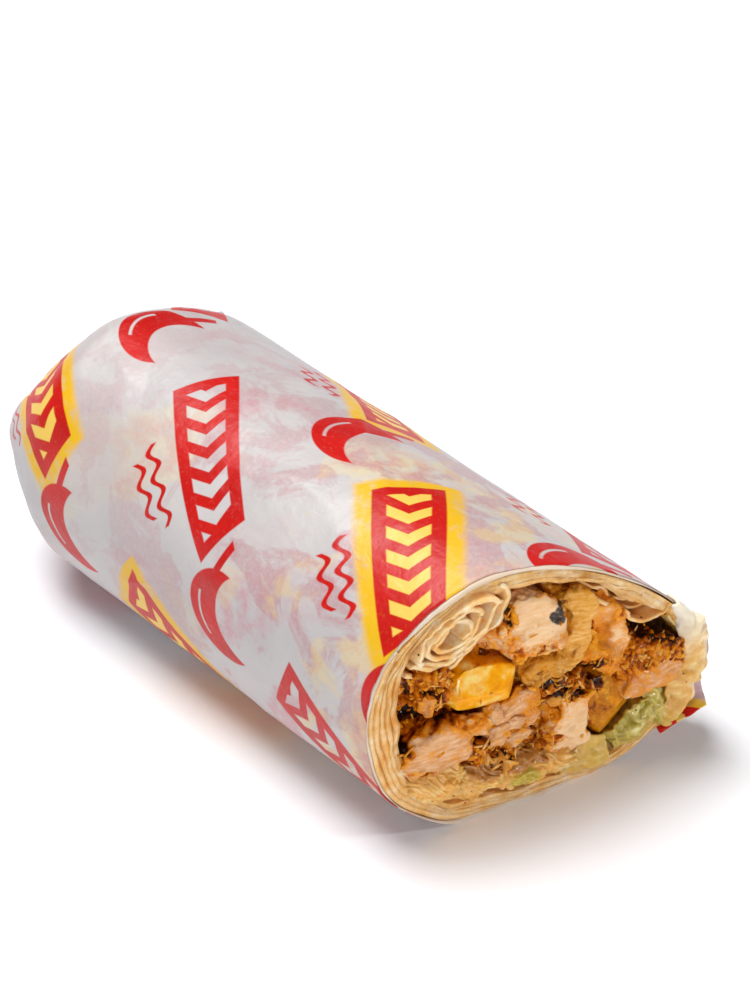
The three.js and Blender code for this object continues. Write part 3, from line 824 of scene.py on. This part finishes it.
def grill(node, flesh_spots, seed, crust, sauce, char_spots=(), crust_and_shade_spots=(), rough=1.0, crumbly=0.95, grow=0.3,
          facets=(), finish=None, slot="chicken"):
    """A piece of food over its CAD solid: pale and smooth where it was cut, crumbly where it was grilled."""
    bm = food_copy(node, FOOD_GRAIN)
    points = np.array([v.co for v in bm.verts])
    normals = np.array([v.normal for v in bm.verts])
    u, v, w = off_cut(points)
    faces_cut = eased(normals @ CUT_NORMAL, 0.15, 0.65)
    spread = patches(u, v, flesh_spots) + 0.45 * fuzz(points, 1 / 3.2, seed + 0.3, 3)
    flesh = eased(spread, -0.25, 0.5) * faces_cut
    top = 0.6 * granules(points, 1.2, seed, 2.3) + 0.4 * granules(points, 0.7, seed + 0.6, 1.4)
    done = crust * (1 - flesh) + 0.02 + 0.22 * fuzz(points, 1 / 3.4, seed + 0.6, 2) * (1 - 0.7 * flesh)
    char = eased(patches(u, v, char_spots), 0.0, 0.6)
    # darker crust and painted shade: thin patches along the gaps between pieces are pushed towards the darkest
    # crust colours
    dark = eased(patches(u, v, crust_and_shade_spots) + 0.3 * fuzz(points, 1 / 2.0, seed + 0.8, 2), -0.2, 0.5)
    done = np.clip(done + 0.3 * char * (1 - flesh) + 0.62 * dark, 0, 1)
    soaked = sauce + 0.5 * (1 - flesh) + 0.5 * fuzz(points, 1 / 4.0, seed + 0.7, 2)
    warp = rows(*(fuzz(points, 1 / 6.0, seed + k, 2) for k in (0.15, 0.25, 0.35)))
    lumps = fuzz(points, 1 / 3.2, seed, 3) * 0.75 * rough
    grains = (top - 0.45) * crumbly * rough * (1 - flesh)
    calm = fuzz(points, (1 / 4, 1 / 4, 1 / 2.2), seed + 0.4, 3) * 0.25 * min(1, rough)
    points += normals * (lumps * (1 - 0.65 * flesh) + grains + calm * flesh + grow)[:, None] + 1.3 * rough * warp
    for at_u, at_v, at_w, lean_u, lean_v in facets:  # flat cuts of the knife
        u, v, w = off_cut(points)
        plane = at_w + lean_u * (u - at_u) + lean_v * (v - at_v)
        points = on_cut(u, v, w - 0.9 * np.maximum(w - plane, 0))
    move_to(bm, points)
    name = {"chicken": "grilled_", "potato": "fried_"}[slot] + node
    values = {"done": done, "char": char, "sauce": soaked, "top": top * (1 - flesh) + 0.5 * flesh}
    piece = finish_mesh(bm, name, finish or chicken_finish, values)
    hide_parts(node)
    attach(piece, "root")
    food.append(piece)
    crusts.append(done)


grill("chicken_top", [(-2.0, 41.4, 5.4, 6.4)], 1.1, 0.34, 0.12, char_spots=[(0.7, 41.0, 2.6, 2.8)],
      crust_and_shade_spots=[(-8.4, 44.4, 1.2, 4.0)], rough=0.7)
grill("chicken_right", [(18.4, 17.4, 5.0, 3.8), (22.0, 18.8, 2.6, 3.4)], 2.2, 0.54, 0.5,
      crust_and_shade_spots=[(20.6, 29.0, 4.0, 2.0), (16.6, 13.8, 2.4, 1.6)], rough=1.1, finish=thigh_finish)
grill("chicken_left", [(-19.0, 17.6, 7.0, 5.0), (-14.2, 16.6, 3.0, 3.2)], 3.3, 0.5, 0.36,
      crust_and_shade_spots=[(-21.0, 24.6, 7.0, 1.8), (-25.4, 20.6, 1.6, 3.0)], rough=0.7, finish=thigh_finish)
grill("chicken_tall", [(9.4, 39.4, 4.0, 5.0), (12.6, 32.0, 2.4, 4.6)], 4.4, 0.36, 0.66,
      crust_and_shade_spots=[(8.0, 26.6, 3.0, 1.8), (7.2, 36.0, 0.9, 2.6)])
grill("chicken_low", [(5.6, 15.4, 5.0, 5.6)], 5.5, 0.5, 0.4, char_spots=[(1.6, 21.8, 1.6, 1.2)],
      crust_and_shade_spots=[(4.2, 22.6, 4.0, 2.0)])
grill("chicken_middle", [(-5.8, 22.4, 4.4, 3.4), (-2.6, 18.8, 3.0, 2.6)], 6.6, 0.42, 0.66, finish=thigh_finish)
grill("chicken_edge", [(-21.8, 29.6, 2.0, 1.8)], 7.7, 0.54, 0.8, crust_and_shade_spots=[(-21.0, 31.4, 1.6, 2.4)], rough=1.4,
      finish=thigh_finish)
grill("chicken_small", [(6.6, 9.4, 2.8, 2.6)], 8.8, 0.4, 0.3)
grill("chicken_charred", [], 9.9, 0.68, 0.7, char_spots=[(0.6, 24.4, 1.8, 1.4)], rough=1.2)
grill("chicken_shreds", [(-6.4, 13.8, 2.6, 1.8)], 10.1, 0.68, 0.8, crust_and_shade_spots=[(-8.6, 11.6, 4.0, 1.6)], rough=1.4,
      finish=thigh_finish)


# ---------------- fried potato
# Soft-fried potato pieces: golden, wet and slightly see-through where the knife cut them.
potato_finish = food_finish(
    "fried_potato",
    ("#f09000", "#fdb004", "#ffdc80"),
    ("#d87400", "#f09400", "#fdb00c"),
    ("#f0940a", "#cf6e02", "#9c4801", "#5c2601", "#2c1002"),
    wet=0.3, fibrous=False,
)
skin_finish = food_finish(
    "fried_potato_skin",
    ("#cc8826", "#e3a54a", "#f4c67c"),
    ("#b6700c", "#d48c20", "#e8a844"),
    ("#dc962c", "#bc700c", "#8a4a06", "#502404", "#261004"),
    "#4c2a10", 0.16,
)
glazed_finish = food_finish(
    "glazed_potato",
    ("#d87c00", "#f09c00", "#ffd058"),
    ("#8a4600", "#b86c00", "#e09400"),
    ("#e08210", "#b45c00", "#7c3600", "#481c00", "#200c02"),
    wet=0.2, fibrous=False,
)
grill("potato_left", [(-11.4, 29.4, 9.6, 8.0)], 12.1, 0.2, 0.26, rough=0.24, crumbly=0.4, grow=0.35,
      facets=[(-12.0, 28.6, 2.0, 0.02, -0.5), (-12.0, 28.6, 2.0, 0.1, 0.55), (-8.0, 29.0, 1.8, -0.8, 0.1)],
      finish=potato_finish, slot="potato")
grill("potato_right", [(15.0, 11.4, 4.4, 4.4)], 13.2, 0.26, 0.46, crust_and_shade_spots=[(10.2, 19.4, 1.8, 2.0)], rough=0.5,
      crumbly=0.4, grow=0.5, facets=[(13.4, 14.6, 0.9, 0.3, -0.3), (13.4, 14.6, 0.9, -0.5, 0.35)],
      finish=glazed_finish, slot="potato")
grill("potato_strip", [(5.6, 37.0, 3.4, 7.4)], 14.3, 0.3, 0.3, rough=0.7, finish=skin_finish, slot="potato")


# ---------------- loose filling
# Chopped chicken, marinade and crumbs packed behind and between the pieces, painted near black in the gaps as
# shade.
filling_finish = food_finish(
    "chopped_filling",
    ("#de8e2a", "#ebaa54", "#f4c384"),
    ("#b45c00", "#e08608", "#f8ac38"),
    ("#fca828", "#e07e08", "#a04802", "#441400", "#120400"),
    "#2c1206", 0.16,
)
bm = food_copy("filling", 0.6)
points = np.array([v.co for v in bm.verts])
normals = np.array([v.normal for v in bm.verts])
front = eased(off_cut(points)[2], -14, -6)
top = granules(points, 1.9)
height = fuzz(points, 1 / 4.0, 15.4, 3) * 0.9 + (top - 0.5) * 1.0
move_to(bm, points + normals * (height * front - 0.15)[:, None])
# painted shade: the deep gaps between the pieces, where the filling gets its darkest crust colours
GAPS_PAINTED_DARK = [  # deep and dark: u, v, half width, half height
    (-20.5, 24.8, 7.0, 1.7), (15.4, 20.6, 2.8, 2.4), (-6.4, 31.8, 3.0, 1.4), (-12.6, 24.8, 2.2, 1.1),
    (6.8, 24.6, 3.4, 1.4),
]
u, v, _ = off_cut(points)
# painted shade: done is pushed up in the gaps so the filling comes out near black there
done = 0.8 + 0.2 * fuzz(points, 1 / 3.0, 15.1, 2) + 0.9 * eased(patches(u, v, GAPS_PAINTED_DARK), -0.4, 0.4)
values = {"done": done, "char": 0 * done, "sauce": 0 * done + 0.7, "top": top}
filling = finish_mesh(bm, "chopped_filling", filling_finish, values)
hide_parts("filling")
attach(filling, "root")

# Crumbs, fibres and small flakes of meat that the knife tore loose. They lie on whatever is behind them at the
# cut, thickest on the filling and on well-grilled crusts, and hardly any in the deep gaps.
CRUMBS = 2200
CUT_ACROSS, CUT_UP, ROOM_INSET = (-26, 27), (4, 47), 5.0  # where they may lie: inside the wall of bread
LOOK_FROM, LOOK_FAR = 12.0, 0.04  # in mm out of the cut, and in m
LARGE_CRUMB, SMALL_CRUMB, FLAKE, FIBRE = (0.3, 1.35), (0.18, 0.5), (0.9, 1.4), (0.16, 0.3)  # their sizes
FLAKE_SHARE, FLAKES_WITHIN = 0.03, 12
FIBRE_SHARE, FIBRE_SHARE_RIGHT, RIGHT_FROM = 0.3, 0.08, 6
FILLING_TONE = 0.8
draw = random.Random(7)
depsgraph = bpy.context.evaluated_depsgraph_get()
trees = [BVHTree.FromObject(piece, depsgraph) for piece in [filling, *food]]
inward = Vector((-1, 0, 0))


def behind(u, v):
    """How far out the first thing behind a point of the cut lies, its number, and how done it is there."""
    start = Vector(on_cut(u, v, LOOK_FROM)[0]) * MM
    hits = [tree.ray_cast(start, inward, LOOK_FAR) for tree in trees]
    found = [(hit[3], number, hit[2]) for number, hit in enumerate(hits) if hit[0]]
    if not found:
        return None
    far, number, face = min(found)
    if number == 0:
        return LOOK_FROM - far / MM, 0, FILLING_TONE
    mesh = food[number - 1].data
    return LOOK_FROM - far / MM, number, crusts[number - 1][mesh.polygons[face].vertices[0]]


def in_room(u, v):
    """Whether a point of the cut lies inside the wall of bread, by how often a line from it crosses the wall."""
    y = u * math.cos(CUT_BIAS)
    return sum((z0 > v) != (z1 > v) and y < (y1 - y0) * (v - z0) / (z1 - z0) + y0 for y0, z0, y1, z1 in room) % 2


def any_turn(lean=1.0):
    """A turn that points the long side of a crumb any way, but less out of the cut where lean is small."""
    way = Vector((lean * draw.uniform(-1, 1), draw.uniform(-1, 1), draw.uniform(-1, 1)))
    return way.normalized().to_track_quat("Z", "Y")


template = bmesh.new()
bmesh.ops.create_uvsphere(template, u_segments=8, v_segments=6, radius=1.0)
crumb = bpy.data.meshes.new("crumb")
template.to_mesh(crumb)
template.free()
bits = bmesh.new()
tones = []
room_y, room_z = OUTLINE.at(np.linspace(0, 1, 200, endpoint=False), ROOM_INSET)
room = list(zip(room_y, room_z, np.roll(room_y, -1), np.roll(room_z, -1)))
while len(tones) < CRUMBS:
    u, v = draw.uniform(*CUT_ACROSS), draw.uniform(*CUT_UP)
    spot = behind(u, v) if in_room(u, v) else None
    if spot is None or draw.random() > (1.0 if spot[1] == 0 else max(0.004, 1.7 * (spot[2] - 0.4))):
        continue
    if patches(np.array([u]), np.array([v]), GAPS_PAINTED_DARK)[0] > 0 and draw.random() > 0.06:
        continue
    w, number, done = spot
    flake = draw.random() < FLAKE_SHARE and abs(u) < FLAKES_WITHIN  # a torn flake of pale meat
    fibre = not flake and draw.random() < (FIBRE_SHARE if u < RIGHT_FROM else FIBRE_SHARE_RIGHT)
    size = draw.uniform(*LARGE_CRUMB) ** 1.5 if number == 0 else draw.uniform(*SMALL_CRUMB)
    stretch = Vector((draw.uniform(0.6, 1.1), draw.uniform(0.6, 1.1), draw.uniform(0.8, 1.9)))
    if flake:
        size = draw.uniform(*FLAKE)
        stretch = Vector((draw.uniform(0.3, 0.5), draw.uniform(0.8, 1.2), draw.uniform(1.3, 2.2)))
    turn = any_turn()
    if fibre:
        size, stretch = draw.uniform(*FIBRE), Vector((0.7, 1.0, draw.uniform(3.0, 6.5)))
        turn = any_turn(lean=0.3)
    centre = Vector(on_cut(u, v, w - size * 0.2)[0])
    before = len(bits.verts)
    bits.from_mesh(crumb)
    bits.verts.ensure_lookup_table()
    for vert in bits.verts[before:]:
        p = vert.co * (1 + 0.65 * noise.noise(vert.co * 1.2 + Vector((len(tones), 0, 0))))
        vert.co = centre + turn @ (p * stretch) * size
    if flake or fibre:
        tones.append((draw.uniform(0.0, 0.3), draw.uniform(0.1, 1.0), 0.6))
    else:
        tone = min(1, max(0, done + draw.uniform(-0.3, 0.15)))
        tones.append((tone, draw.uniform(0.5, 1.1), draw.uniform(0.2, 1.0)))
done, soaked, top = np.repeat(np.array(tones), len(crumb.vertices), axis=0).T
values = {"done": done, "char": 0 * done, "sauce": soaked, "top": top}
crumbs = finish_mesh(bits, "crumbs_and_shreds", filling_finish, values)
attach(crumbs, "root")

# Torn flakes of pale meat in the middle of the cut, with dark cracks between them.
FLAKES = (  # u, v, half width, half height, turn
    (-12.4, 21.4, 2.3, 2.0, 0.3), (-9.2, 17.8, 1.5, 3.0, 0.45), (-5.2, 16.0, 2.2, 1.5, -0.5),
    (-9.6, 22.6, 1.4, 2.2, -0.4), (-6.0, 19.4, 1.6, 1.2, 0.2),
)
template = bmesh.new()
bmesh.ops.create_icosphere(template, subdivisions=4, radius=1.0)
ball = np.array([v.co for v in template.verts])
lump = bpy.data.meshes.new("lump")
template.to_mesh(lump)
template.free()
flakes = bmesh.new()
spots = []
for number, (u, v, wide, tall, turn) in enumerate(FLAKES):
    flakes.from_mesh(lump)
    chipped = np.sign(ball) * np.abs(ball) ** 0.7 * (1 + 0.3 * fuzz(ball, 1.4, 60 + number, 3))[:, None]
    a, b = chipped[:, 1] * wide, chipped[:, 2] * tall
    w = max(behind(u, v)[0], 0.6) + chipped[:, 0] * 1.2 + 0.25 * fuzz(ball, 4.0, 70 + number, 2)
    c, s = math.cos(turn), math.sin(turn)
    spots.append(on_cut(u + a * c + b * s, v + b * c - a * s, w))
spots = np.concatenate(spots)
move_to(flakes, spots)
worn = 0.2 + 0.5 * fuzz(spots, 1 / 2.6, 80, 3)
values = {"done": worn, "char": 0 * worn, "sauce": worn + 0.16, "top": 0 * worn + 0.5}
flakes = finish_mesh(flakes, "chicken_flakes", thigh_finish, values)
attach(flakes, "root")


# ---------------- cabbage and lettuce
# Shredded white cabbage in sauce and a leaf of lettuce: thin wet leaves, folded and see-through at their
# edges. One broad leaf lies over the right side of the cut.
LEAF_GREEN, LEAF_PALE, LEAF_GRAVY_AND_SHADE = "#b4a83c", "#fdf0da", "#9c5a08"
LEAF_ROOM = 1.6  # a mound of leaves keeps this far inside the roll


def leaf_finish(name, dark, middle, pale, stain_code):
    """A wet leaf, pale where the attribute green is below 0, green where it is high, brown where soaked is: sauce,
    and on the slaw also painted shade.
    """
    f = Finish(name, roughness=0.3)
    vein = f.grain(3.0, 5, 0.6, where=f.scaled(0.6, 1.4, 1.4))
    base = shades(f, vein, (0.32, dark), (0.5, middle), (0.68, pale))
    stain = f.ease(f.grain(4, 4, 0.6), 0.44, 0.64)
    base = f.blend(f.times(stain, 0.5), base, stain_code)
    green = f.attribute("green")
    base = f.blend(f.times(f.ease(green, 0.2, 0.8), 0.75), base, LEAF_GREEN)
    base = f.blend(f.times(f.ease(green, -0.7, -0.1, 1.0, 0.0), 0.85), base, LEAF_PALE)
    wetted = f.plus(f.attribute("soaked"), f.minus(f.grain(1.6, 4, 0.7), 0.5))
    # sauce and painted shade: the soaked patches are browned
    base = f.blend(f.times(f.ease(wetted, 0.25, 0.7), 0.8), base, LEAF_GRAVY_AND_SHADE)
    specks = f.ease(f.cells(2.2), 0.06, 0.12, 1.0, 0.0)
    base = f.blend(f.times(specks, f.ease(f.grain(3, 2), 0.5, 0.54)), base, "#5a3212")
    f.set(
        Base_Color=base,
        Normal=f.relief(f.grain(0.9, 4, 0.6), 0.35, 0.4),
        Subsurface_Weight=0.5,
        Subsurface_Scale=0.002,
        Subsurface_Radius=(1.0, 0.85, 0.45),
        Specular_IOR_Level=0.3,
        Coat_Weight=0.4,
        Coat_Roughness=0.08,
    )
    return f.material


cabbage_finish = leaf_finish("white_cabbage", "#d89a42", "#e8ae58", "#f6cf8c", "#c88420")
lettuce_finish = leaf_finish("lettuce_leaf", "#98882c", "#c0ac4c", "#ecdc9c", "#b67c14")


LEAF_STEPS, LEAF_THICK = 14, 0.5


def sample(points, count):
    """Evenly spaced points on a smooth line."""
    dense = smooth_line(points)
    run = np.concatenate([[0], np.cumsum(np.linalg.norm(np.diff(dense, axis=0), axis=1))])
    return np.array([np.interp(np.linspace(0, run[-1], count), run, values) for values in dense.T]).T


def spread_leaf(material, curves, seed, wave, pace, across=90, green=(0.0, 0.0)):
    """A leaf that lies over smooth curves given as u, v, w on the cut."""
    lines = np.array([sample(curve, across + 1) for curve in curves])
    sheet = np.array([smooth_line(lines[:, i], steps=LEAF_STEPS) for i in range(across + 1)])
    along = LEAF_STEPS * (len(curves) - 1)
    bm, gx, gy = flat_grid(across, along)
    u, v, w = sheet[np.rint(gx * across).astype(int), np.rint(gy * along).astype(int)].T
    spots = rows(u, v, w)
    crease = 0.7 - np.abs(fuzz(spots, 1.2 / pace, seed + 0.9, 2)) * 3  # folded sharp, not waved
    w = w + wave * (0.6 * fuzz(spots, 1 / pace, seed, 3) + 0.4 * crease)
    u = u + 0.5 * wave * fuzz(spots, 1.4 / pace, seed + 0.3, 2)
    v = v + 0.5 * wave * fuzz(spots, 1.4 / pace, seed + 0.6, 2)
    move_to(bm, on_cut(u, v, w))
    piece = finish_mesh(bm, "leaf", material, {"green": green[0] + (green[1] - green[0]) * gx})
    give_thickness(piece, LEAF_THICK)
    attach(piece, "root")
    return piece


def slaw(middle, half, seed, green_spots=(), sauce_and_shade_spots=()):
    """A mound of cabbage shreds pressed together: their edges run round it as uneven ridges."""
    bm = bmesh.new()
    bmesh.ops.create_icosphere(bm, subdivisions=6, radius=1.0)
    unit = np.array([v.co for v in bm.verts])
    u, v, w = (unit * half + middle).T
    spots = rows(u, v, w)
    warp = fuzz(spots, 1 / 5.0, seed, 3)
    layer = (v + 0.4 * u + 2.6 * warp) / 1.25 + 0.35 * fuzz(spots, 1 / 1.6, seed + 0.2, 2)
    ridge = eased(np.abs(np.mod(layer, 1) - 0.35), 0.0, 0.32) - 0.5
    push = 0.6 * ridge + 1.0 * fuzz(spots, 1 / 3.0, seed + 0.4, 3)
    u, v, w = (spots + unit * push[:, None]).T
    u, v = keep_inside(u, v, LEAF_ROOM)
    move_to(bm, on_cut(u, v, w))
    # sauce and painted shade: brown patches where the slaw meets the crust above it
    green, soaked = eased(patches(u, v, green_spots), -0.2, 0.5), eased(patches(u, v, sauce_and_shade_spots), -0.5, 0.7)
    piece = finish_mesh(bm, "slaw", cabbage_finish, {"green": green, "soaked": soaked})
    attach(piece, "root")
    return piece


side = [
    spread_leaf(cabbage_finish, [
        [(21.8, 32.4, -0.6), (23.6, 28.6, 0.2), (24.8, 24.0, 0.4),
         (24.2, 19.4, 0.4), (22.8, 13.0, 0.6), (21.8, 7.2, 0.2)],
        [(22.7, 33.2, 0.5), (25.4, 29.4, 1.3), (27.4, 24.6, 1.7),
         (27.8, 19.0, 1.6), (26.2, 12.0, 1.4), (23.2, 6.0, 0.9)],
        [(23.6, 33.4, 0.1), (26.6, 30.4, 0.7), (29.4, 25.6, 0.9),
         (30.4, 19.4, 0.8), (29.0, 12.0, 0.6), (24.9, 5.6, 0.3)],
        [(23.9, 33.2, -2.4), (27.0, 30.4, -2.8), (29.8, 25.6, -3.0),
         (30.9, 19.2, -3.0), (29.5, 11.6, -2.8), (25.3, 5.2, -2.6)],
    ], 41.0, wave=1.7, pace=6.0, green=(-0.75, 0.55)),
    ruffle(cabbage_finish, [(22.4, 31.4), (24.6, 27.4), (25.4, 22), (24.6, 16), (22.6, 10.6)], 0.6, -16, 0.6,
           42, wave=0.8),
]
left = [
    slaw((-19.6, 10.2, -4.6), (7.4, 5.6, 6.6), 51.0),
    slaw((-11.6, 8.0, -4.6), (6.8, 5.2, 6.6), 52.0, (), [(-9.6, 11.6, 6.0, 3.0)]),
]
under = [
    slaw((-3.6, 6.6, -4.6), (7.0, 4.6, 6.6), 53.0, [(-4.1, 5.8, 3.0, 2.6)],
         [(-5.0, 10.2, 5.6, 2.8), (1.6, 9.0, 3.0, 2.0)]),
    slaw((4.4, 5.6, -5.0), (6.4, 3.8, 6.4), 54.0),
    spread_leaf(cabbage_finish, [
        [(5.2, 6.8, 0.2), (8.4, 9.2, 0.4), (11.8, 8.8, 0.2)],
        [(3.8, 4.6, 1.1), (8.0, 5.4, 1.3), (12.0, 5.2, 0.9)],
        [(3.8, 3.0, 0.6), (8.0, 2.4, 0.9), (12.2, 2.2, 0.6)],
        [(4.0, 2.6, -3.0), (8.0, 2.2, -3.0), (12.4, 2.0, -3.0)],
    ], 43.0, wave=0.9, pace=5.0, green=(0.4, 0.5)),
]
leaf = [
    spread_leaf(lettuce_finish, [
        [(12.2, 8.6, 0.3), (15.2, 11.6, 0.5), (19.8, 13.4, 0.2)],
        [(12.6, 6.4, 1.4), (16.2, 8.8, 1.9), (20.8, 10.4, 1.1)],
        [(13.8, 4.6, 0.7), (17.2, 5.8, 1.2), (20.4, 7.4, 0.7)],
        [(14.2, 4.0, -3.0), (17.4, 5.0, -3.0), (20.6, 6.6, -3.0)],
    ], 44.0, wave=1.0, pace=3.0, across=130),
    spread_leaf(lettuce_finish, [
        [(19.0, 15.4, -0.4), (20.2, 10.6, 0.2), (21.0, 6.0, 0.0)],
        [(20.6, 15.6, 0.5), (21.6, 10.6, 1.3), (21.9, 5.4, 0.6)],
        [(22.4, 15.4, -0.3), (23.0, 10.4, 0.4), (22.8, 5.4, 0.1)],
    ], 45.0, wave=0.9, pace=3.0, green=(0.2, 0.6)),
    ruffle(lettuce_finish, [(12.2, 7.4), (14.6, 8.4), (17.6, 10.4), (19.6, 13.0)], 1.6, -14, 0.5, 46,
           wave=0.9, lip=0.9),
]
for pieces, name, node, slot in (
    (side, "cabbage_side_leaf", "cabbage_side", "cabbage"),
    (left, "cabbage_left_shreds", "cabbage_left", "cabbage"),
    (under, "cabbage_under_shreds", "cabbage_under", "cabbage"),
    (leaf, "lettuce_leaf", "lettuce", "lettuce"),
):
    whole = join(pieces, name)
    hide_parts(node)
